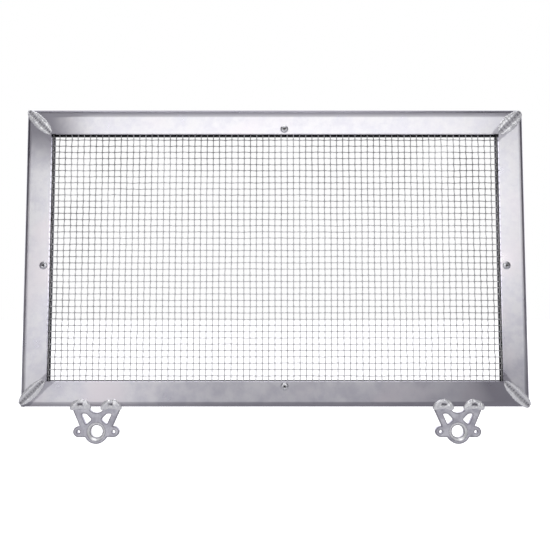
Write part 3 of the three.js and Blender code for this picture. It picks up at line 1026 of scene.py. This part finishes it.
def lathe(name, profile, sides, material):
    build = bmesh.new()
    rings = []
    for radius, y in profile:
        ring = [
            build.verts.new((radius * math.cos(turn), y, radius * math.sin(turn)))
            for turn in (math.tau * i / sides for i in range(sides))
        ]
        rings.append(ring)
    for ring, following in zip(rings, rings[1:] + rings[:1]):
        for i in range(sides):
            j = (i + 1) % sides
            build.faces.new((ring[i], ring[j], following[j], following[i]))
    bmesh.ops.recalc_face_normals(build, faces=build.faces)
    mesh = bpy.data.meshes.new(name)
    build.to_mesh(mesh)
    build.free()
    mesh.materials.append(material)
    mesh.shade_smooth()
    mesh.set_sharp_from_angle(angle=math.radians(40))
    return mesh


def makeRivetTree():
    tree, given, made = newTree(
        "placedRivets",
        "GeometryNodeTree",
        [
            ("Geometry", "NodeSocketGeometry", None),
            ("Rivet", "NodeSocketObject", None),
            ("Finish", "NodeSocketMaterial", None),
        ],
        [("Geometry", "NodeSocketGeometry")],
    )
    shape = addNode(tree, "GeometryNodeObjectInfo")
    feed(tree, shape.inputs["Object"], given["Rivet"])
    placed = addNode(tree, "GeometryNodeInstanceOnPoints")
    feedAll(tree, placed, Points=given["Geometry"], Instance=shape.outputs["Geometry"])
    real = realized(tree, placed.outputs["Instances"])
    feed(tree, made["Geometry"], finished(tree, real, given["Finish"]))
    return tree


def makeRivets():
    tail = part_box("top_rivet")[1].y - rivet["tailInside"]
    front, back = rail["front"], rail["back"]
    head, rise, bore, shank, bulb, gap = (
        rivet[key] for key in ("head", "rise", "bore", "shank", "bulb", "gap")
    )
    dome = [
        (head * math.sin(turn), front - rise * math.cos(turn) ** rivet["domePower"])
        for turn in (math.radians(15 * i) for i in range(2, 6))
    ]
    profile = [
        (bore, front - rise * 0.75),
        (bore * 1.35, front - rise),
        *dome,
        (head, front - rivet["rim"]),
        (head, front + gap),
        (shank, front + gap),
        (shank, back),
        (bulb * 0.92, back + gap),
        (bulb, back + rivet["bulbWidest"]),
        (bulb * 0.86, back + rivet["bulbEnd"]),
        (shank * 1.05, tail - rivet["tailRound"]),
        (shank * 0.95, tail),
        (bore, tail),
    ]
    shape = bpy.data.objects.new("rivetShape", lathe("rivetShape", profile, rivet["sides"], rivetMetal))
    bpy.context.scene.collection.objects.link(shape)
    spots = bpy.data.meshes.new("rivetSpots")
    centres = [middle(side + "_rivet") for side in sideNames]
    spots.from_pydata([(spot.x, 0, spot.z) for spot in centres], [], [])
    values = {"Rivet": shape, "Finish": rivetMetal}
    piece = grow("blind_rivets", makeRivetTree(), values, seedMesh=spots)
    bpy.data.objects.remove(shape)
    keep(piece, "rivet_metal", *(side + "_rivet" for side in sideNames))
    for side in sideNames:
        stub = nodes[side + "_rivet_mandrel"]
        stub.data.materials.clear()
        stub.data.materials.append(mandrelMetal)


makeRivets()
print("rivets set")


# stage, lights and camera

studio = {
    "seen": (1, 1, 1, 1),
    "tint": (0.93, 0.92, 1.0, 1),
    "room": 0.12,
    "backdrop": 1.3,
    "backdropRange": (0.05, 0.6),
    "overhead": 0.3,
    "overheadRange": (0.6, 1.0),
    "floorSeen": 0.9,
}
floor = {
    "size": 40.0,
    "below": 0.32,
    "light": (0.66, 0.66, 0.66, 1),
    "dark": (0.6, 0.6, 0.6, 1),
    "roughness": 0.9,
}
view = {"distance": 0.575, "below": 52.5 * mm, "tilt": 3.32, "lens": 37.42, "sensor": 36.0}
# each light's place, what it points at from the frame's middle, its size and its power
lights = {
    "frontBox": ((0.05, -1.56, 0.57), (0.05, 0, 0.40), (1.95, 0.98), 7.3),
    "lowLeftBox": ((-0.78, -1.5, -0.08), (-0.2, 0, -0.15), (0.6, 0.4), 0.38),
    "topBox": ((-0.1, -0.6, 1.55), (0, 0, 0), (1.3, 0.4), 5.5),
}


def makeFloor():
    mesh = bpy.data.meshes.new("floor")
    half = floor["size"] / 2
    z = cadLow.z - floor["below"]
    corners = [(-half, -half, z), (half, -half, z), (half, half, z), (-half, half, z)]
    mesh.from_pydata(corners, [], [(0, 1, 2, 3)])
    piece = bpy.data.objects.new("floor", mesh)
    bpy.context.scene.collection.objects.link(piece)
    material, tree, surface = newMaterial("paleFloor")
    surface["Metallic"].default_value = 0.0
    surface["Roughness"].default_value = floor["roughness"]
    grain = noise(tree, objectVector(tree), 30.0, 3.0)
    feed(tree, surface["Base Color"], mixColour(tree, grain, floor["dark"], floor["light"]))
    # seen directly it runs into the white backdrop without an edge
    seen = addNode(tree, "ShaderNodeLightPath").outputs["Is Camera Ray"]
    surface["Emission Color"].default_value = studio["seen"]
    feed(tree, surface["Emission Strength"], times(tree, seen, studio["floorSeen"]))
    mesh.materials.append(material)


def makeLight(name, place, aim, size, power):
    light = bpy.data.lights.new(name, "AREA")
    light.shape = "RECTANGLE"
    light.size, light.size_y = size
    light.energy = power
    lamp = bpy.data.objects.new(name, light)
    lamp.location = place
    sight = rail["centre"] + Vector(aim) - Vector(place)
    lamp.rotation_euler = sight.to_track_quat("-Z", "Y").to_euler()
    bpy.context.scene.collection.objects.link(lamp)


def makeWorld():
    world = bpy.data.worlds.new("studio")
    world.use_nodes = True
    tree = world.node_tree
    tree.nodes.clear()
    seen = addNode(tree, "ShaderNodeBackground")
    feedAll(tree, seen, Color=studio["seen"], Strength=1.0)
    # a dim room with a pale backdrop behind the object and some light from straight above
    way = split(tree, addNode(tree, "ShaderNodeTexCoord").outputs["Generated"])
    backdrop = smoothStep(tree, way["Y"], *studio["backdropRange"])
    overhead = smoothStep(tree, way["Z"], *studio["overheadRange"])
    strength = addScaled(tree, studio["room"], backdrop, studio["backdrop"])
    strength = addScaled(tree, strength, overhead, studio["overhead"])
    room = addNode(tree, "ShaderNodeBackground")
    feedAll(tree, room, Color=studio["tint"], Strength=strength)
    path = addNode(tree, "ShaderNodeLightPath")
    mix = addNode(tree, "ShaderNodeMixShader")
    feed(tree, mix.inputs[0], path.outputs["Is Camera Ray"])
    feed(tree, mix.inputs[1], room.outputs[0])
    feed(tree, mix.inputs[2], seen.outputs[0])
    output = addNode(tree, "ShaderNodeOutputWorld")
    feed(tree, output.inputs["Surface"], mix.outputs[0])
    bpy.context.scene.world = world


def makeCamera():
    data = bpy.data.cameras.new("camera")
    data.sensor_width = view["sensor"]
    data.lens = view["lens"]
    camera = bpy.data.objects.new("camera", data)
    centre = rail["centre"]
    camera.location = (centre.x, rail["front"] - view["distance"], centre.z - view["below"])
    camera.rotation_euler = (math.radians(90 + view["tilt"]), 0, 0)
    bpy.context.scene.collection.objects.link(camera)
    bpy.context.scene.camera = camera


makeFloor()
makeWorld()
makeCamera()
for name, (place, aim, size, power) in lights.items():
    makeLight(name, place, aim, size, power)
bpy.context.scene.view_settings.view_transform = "Standard"
print("stage set")
